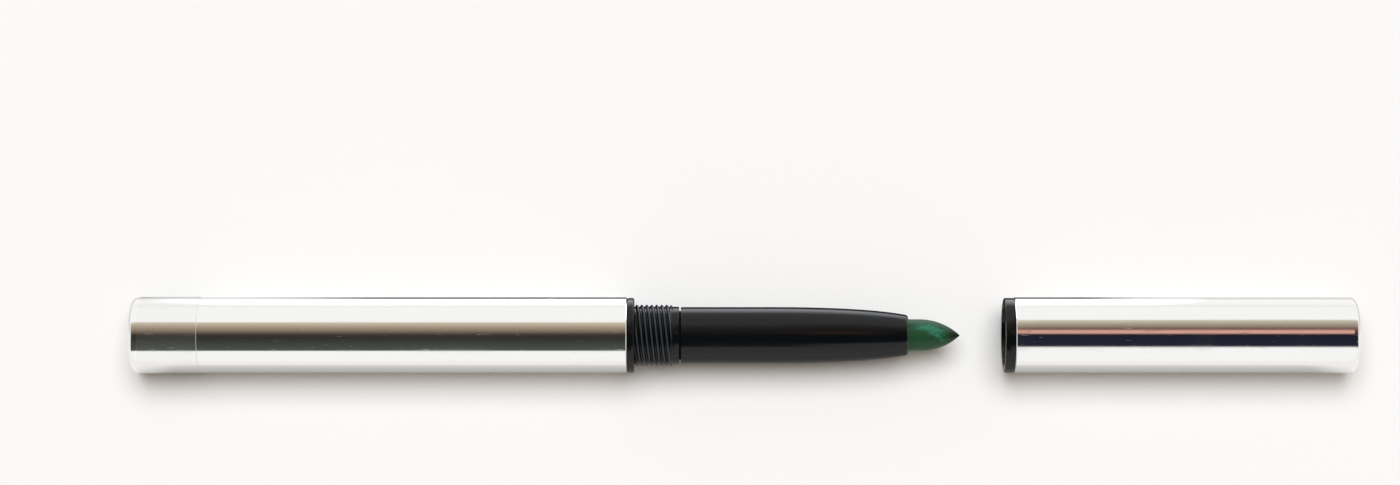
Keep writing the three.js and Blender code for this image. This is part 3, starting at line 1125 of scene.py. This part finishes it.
kohl, tree = new_material("cast wax kohl")
spot = add_node(tree, "TexCoord").outputs["Object"]
along = add_node(tree, "SeparateXYZ", links={0: spot})
on_patch = add_node(
    tree,
    "Mapping",
    {"Location": PATCH_MIDDLE, "Rotation": (0, 0, PATCH_TURN), "Scale": PATCH_HALF},
    {"Vector": spot},
    vector_type="TEXTURE",
)
from_middle = add_node(tree, "VectorMath", links={0: on_patch.outputs[0]}, operation="LENGTH")
stretched = add_node(
    tree,
    "Mapping",
    {"Scale": (SMEAR_WIDTH / SMEAR_LENGTH, 1, 1), "Rotation": (0, 0, -PATCH_TURN)},
    {"Vector": spot},
)
smears = add_node(
    tree,
    "TexNoise",
    {"Scale": 1 / SMEAR_WIDTH, "Detail": 4.0, "Roughness": 0.6, "Distortion": 0.5},
    {"Vector": stretched.outputs[0]},
)
clouds = add_node(
    tree, "TexNoise", {"Scale": 1 / CLOUD_SIZE, "Detail": 3.0, "Roughness": 0.55}, {"Vector": spot}
)
torn = add_node(
    tree,
    "MapRange",
    {"From Min": 0.3, "From Max": 0.7, "To Min": 0.75, "To Max": -0.45},
    {"Value": smears.outputs[0]},
)
torn_edge = add_node(
    tree, "Math", links={0: from_middle.outputs["Value"], 1: torn.outputs[0]}, operation="ADD"
)
rubbed = add_node(
    tree,
    "MapRange",
    {"From Min": 1.35, "From Max": 0.1},
    {"Value": torn_edge.outputs[0]},
    interpolation_type="SMOOTHSTEP",
)
body_tone = add_node(
    tree,
    "Mix",
    {6: linear("#14361F"), 7: linear("#245233")},
    {0: clouds.outputs[0]},
    data_type="RGBA",
)
crumbs = add_node(
    tree, "TexNoise", {"Scale": 1 / CRUMB_SIZE, "Detail": 4.0, "Roughness": 0.6}, {"Vector": spot}
)
speckled = add_node(
    tree, "MapRange", {"From Min": 0.35, "From Max": 0.65}, {"Value": crumbs.outputs[0]}
)
patch_tone = add_node(
    tree,
    "Mix",
    {6: linear("#1C6347"), 7: linear("#458A73")},
    {0: speckled.outputs[0]},
    data_type="RGBA",
)
rubbed_tone = add_node(
    tree,
    "Mix",
    links={0: rubbed.outputs[0], 6: body_tone.outputs[2], 7: patch_tone.outputs[2]},
    data_type="RGBA",
)
tip_dark = add_node(
    tree,
    "MapRange",
    {
        "From Min": (DARK_FROM + ROW_START) * MM,
        "From Max": (DARK_FULL + ROW_START) * MM,
        "To Max": 0.9,
    },
    {"Value": along.outputs["X"]},
    interpolation_type="SMOOTHSTEP",
)
tone = add_node(
    tree,
    "Mix",
    {7: linear("#221F12")},
    {0: tip_dark.outputs[0], 6: rubbed_tone.outputs[2]},
    data_type="RGBA",
)
print("kohl smears", SMEAR_LENGTH / MM, "by", SMEAR_WIDTH / MM, "mm")

# %% Kohl finish
satin = add_node(
    tree,
    "MapRange",
    {"From Min": 0.3, "From Max": 0.7, "To Min": 0.36, "To Max": 0.52},
    {"Value": smears.outputs[0]},
)
worn = add_node(
    tree, "Bump", {"Strength": 0.25, "Distance": 0.03 * MM}, {"Height": crumbs.outputs[0]}
)
wax = add_node(
    tree,
    "BsdfPrincipled",
    {
        "IOR": 1.44,
        "Specular IOR Level": 0.32,
        "Subsurface Weight": 0.1,
        "Subsurface Scale": 0.3 * MM,
        "Sheen Weight": 1.0,
        "Sheen Roughness": 0.35,
        "Sheen Tint": linear("#B9CCC0"),
    },
    {
        "Base Color": tone.outputs[2],
        "Roughness": satin.outputs[0],
        "Normal": worn.outputs[0],
    },
)
add_node(tree, "OutputMaterial", links={"Surface": wax.outputs[0]})
print("kohl crumbs", CRUMB_SIZE / MM, "mm")

# %% Kohl stick
STICK_REAR = 77.25
STICK_RADIUS = 2.125
POINT_LENGTH = 5.3
POINT_STEPS, STICK_ROWS = 40, 40

arch = (STICK_RADIUS**2 + POINT_LENGTH**2) / (2 * STICK_RADIUS)
shoulder = STICK_TIP - POINT_LENGTH
bullet = []
for step in range(POINT_STEPS):
    run = POINT_LENGTH * step / POINT_STEPS
    bullet.append((shoulder + run, math.sqrt(arch**2 - run**2) - arch + STICK_RADIUS))
bm = lathe(
    [(STICK_REAR, 0), (STICK_REAR, STICK_RADIUS), *bullet, (STICK_TIP, 0)],
    rows={1: STICK_ROWS},
    ring=False,
)
keep_piece(bm, "kohl", "lead", kohl, "kohl_stick")

# %% [markdown]
# ## Rubber ring
# A ring of black nitrile rubber sits in a groove of the neck and drags on the nose's tail, so the
# nose stays where it is turned to. Rubber from a mould is matt, with a fine grain.

# %% Rubber finish
RUBBER_GRAIN = 0.12 * MM

rubber, tree = new_material("moulded black nitrile rubber")
spot = add_node(tree, "TexCoord").outputs["Object"]
grain = add_node(tree, "TexNoise", {"Scale": 1 / RUBBER_GRAIN, "Detail": 3.0}, {"Vector": spot})
tone = add_node(
    tree,
    "Mix",
    {6: linear("#141414"), 7: linear("#201F1F")},
    {0: grain.outputs[0]},
    data_type="RGBA",
)
matt = add_node(
    tree, "MapRange", {"To Min": 0.6, "To Max": 0.8}, {"Value": grain.outputs[0]}
)
pitted = add_node(
    tree, "Bump", {"Strength": 0.15, "Distance": 0.01 * MM}, {"Height": grain.outputs[0]}
)
nitrile = add_node(
    tree,
    "BsdfPrincipled",
    {"IOR": 1.52, "Specular IOR Level": 0.3},
    {"Base Color": tone.outputs[2], "Roughness": matt.outputs[0], "Normal": pitted.outputs[0]},
)
add_node(tree, "OutputMaterial", links={"Surface": nitrile.outputs[0]})
print("rubber grain", RUBBER_GRAIN / MM, "mm")

# %% Friction ring
RING_MIDDLE, RING_CENTRE, RING_HALF = 62.4, 3.62, 0.4
RING_SIDES = 24

section = []
for side in range(RING_SIDES):
    angle = math.tau * side / RING_SIDES
    station = RING_MIDDLE + RING_HALF * math.cos(angle)
    section.append((station, RING_CENTRE + RING_HALF * math.sin(angle)))
keep_piece(lathe(section), "rubber_ring", "barrel", rubber, "friction_ring")

# %% [markdown]
# ## The feed inside
# Turning the nose turns the kohl's holder by its ribs. A screw on the holder runs in a nut fixed
# in the neck, so the kohl moves out or in. These pieces are moulded in undyed acetal, a waxy
# white plastic that lets a little light in. The same helper that made the cap's thread pulls the
# ridges of the screw out of a plain rod, and the grooves of the nut out of a plain bore.

# %% Acetal finish
FLOW_LINES = 1.5 * MM

acetal, tree = new_material("natural moulded acetal")
spot = add_node(tree, "TexCoord").outputs["Object"]
flow = add_node(
    tree, "TexNoise", {"Scale": 1 / FLOW_LINES, "Detail": 3.0, "Distortion": 0.8}, {"Vector": spot}
)
tone = add_node(
    tree,
    "Mix",
    {6: linear("#E4DFD2"), 7: linear("#EDE9DE")},
    {0: flow.outputs[0]},
    data_type="RGBA",
)
waxy = add_node(
    tree, "MapRange", {"To Min": 0.32, "To Max": 0.48}, {"Value": flow.outputs[0]}
)
moulded = add_node(
    tree,
    "BsdfPrincipled",
    {"IOR": 1.48, "Subsurface Weight": 0.2, "Subsurface Scale": 0.4 * MM},
    {"Base Color": tone.outputs[2], "Roughness": waxy.outputs[0]},
)
add_node(tree, "OutputMaterial", links={"Surface": moulded.outputs[0]})
print("acetal flow lines", FLOW_LINES / MM, "mm")

# %% Feed screw
SCREW_REAR, SCREW_SHOULDER, SPIGOT_END = 45.2, 74.6, 76.4
SCREW_ROOT, SPIGOT_RADIUS = 1.205, 1.055
FEED_DEPTH, FEED_PITCH, FEED_STARTS = 0.32, 2.5, 2
FEED_CREST, FEED_FLANK, FEED_ROOM = 0.8, 0.3, 0.14
SCREW_ROWS, SCREW_STEPS = 300, 96
SMALL_EDGE = 0.08

bm = lathe(
    [
        (SCREW_REAR, 0),
        (SCREW_REAR, SCREW_ROOT),
        (SCREW_SHOULDER, SCREW_ROOT),
        (SCREW_SHOULDER, SPIGOT_RADIUS),
        (SPIGOT_END, SPIGOT_RADIUS),
        (SPIGOT_END, 0),
    ],
    steps=SCREW_STEPS,
    rows={1: SCREW_ROWS},
    ring=False,
)
pull_thread(
    bm,
    rear=SCREW_REAR,
    front=SCREW_SHOULDER,
    base=SCREW_ROOT,
    depth=FEED_DEPTH,
    pitch=FEED_PITCH,
    starts=FEED_STARTS,
    crest=FEED_CREST,
    flank=FEED_FLANK,
    hand=-1,
    fade=FEED_FLANK,
)
round_rings(bm, [(SPIGOT_END, SPIGOT_RADIUS, SMALL_EDGE)])
keep_piece(bm, "feed_rod", "lead", acetal, "feed_screw")

# %% Feed nut
NUT_REAR, NUT_FRONT, NUT_RADIUS = 48.6, 54.6, 3.28
NUT_ROWS = 72

bm = lathe(
    [
        (NUT_REAR, NUT_RADIUS),
        (NUT_FRONT, NUT_RADIUS),
        (NUT_FRONT, SCREW_ROOT + FEED_ROOM),
        (NUT_REAR, SCREW_ROOT + FEED_ROOM),
    ],
    steps=SCREW_STEPS,
    rows={2: NUT_ROWS},
)
pull_thread(
    bm,
    rear=NUT_REAR - SAME,
    front=NUT_FRONT + SAME,
    base=SCREW_ROOT + FEED_ROOM,
    depth=FEED_DEPTH,
    pitch=FEED_PITCH,
    starts=FEED_STARTS,
    crest=FEED_CREST + 2 * FEED_ROOM,
    flank=FEED_FLANK,
    hand=-1,
    offset=SCREW_REAR - FEED_ROOM - NUT_REAR,
    fade=FEED_FLANK,
    run_out=1,
)
round_rings(bm, [(NUT_REAR, NUT_RADIUS, SMALL_EDGE), (NUT_FRONT, NUT_RADIUS, SMALL_EDGE)])
keep_piece(bm, "nut", "barrel", acetal, "feed_nut")

# %% Lead holder
HOLDER_REAR, RIB_FRONT, HOLDER_FRONT = 74.62, 76.92, 81.82
SOCKET_END, CUP_FLOOR = 76.45, 77.22
SOCKET_RADIUS, CUP_BORE, HOLDER_RADIUS = 1.085, 2.155, 2.5
RIB_END = 0.05

bm = lathe(
    [
        (SOCKET_END, 0),
        (SOCKET_END, SOCKET_RADIUS),
        (HOLDER_REAR, SOCKET_RADIUS),
        (HOLDER_REAR, HOLDER_RADIUS),
        (RIB_FRONT - RIB_END, HOLDER_RADIUS),
        (RIB_FRONT, HOLDER_RADIUS),
        (HOLDER_FRONT, HOLDER_RADIUS),
        (HOLDER_FRONT, CUP_BORE),
        (CUP_FLOOR, CUP_BORE),
        (CUP_FLOOR, 0),
    ],
    ring=False,
)
push_sides(bm, HOLDER_REAR, RIB_FRONT - RIB_END, HOLDER_RADIUS, RIB_REACH, RIB_WIDTH)
round_rings(bm, [(HOLDER_FRONT, HOLDER_RADIUS, SMALL_EDGE), (HOLDER_FRONT, CUP_BORE, SMALL_EDGE)])
keep_piece(bm, "holder", "lead", acetal, "lead_holder")
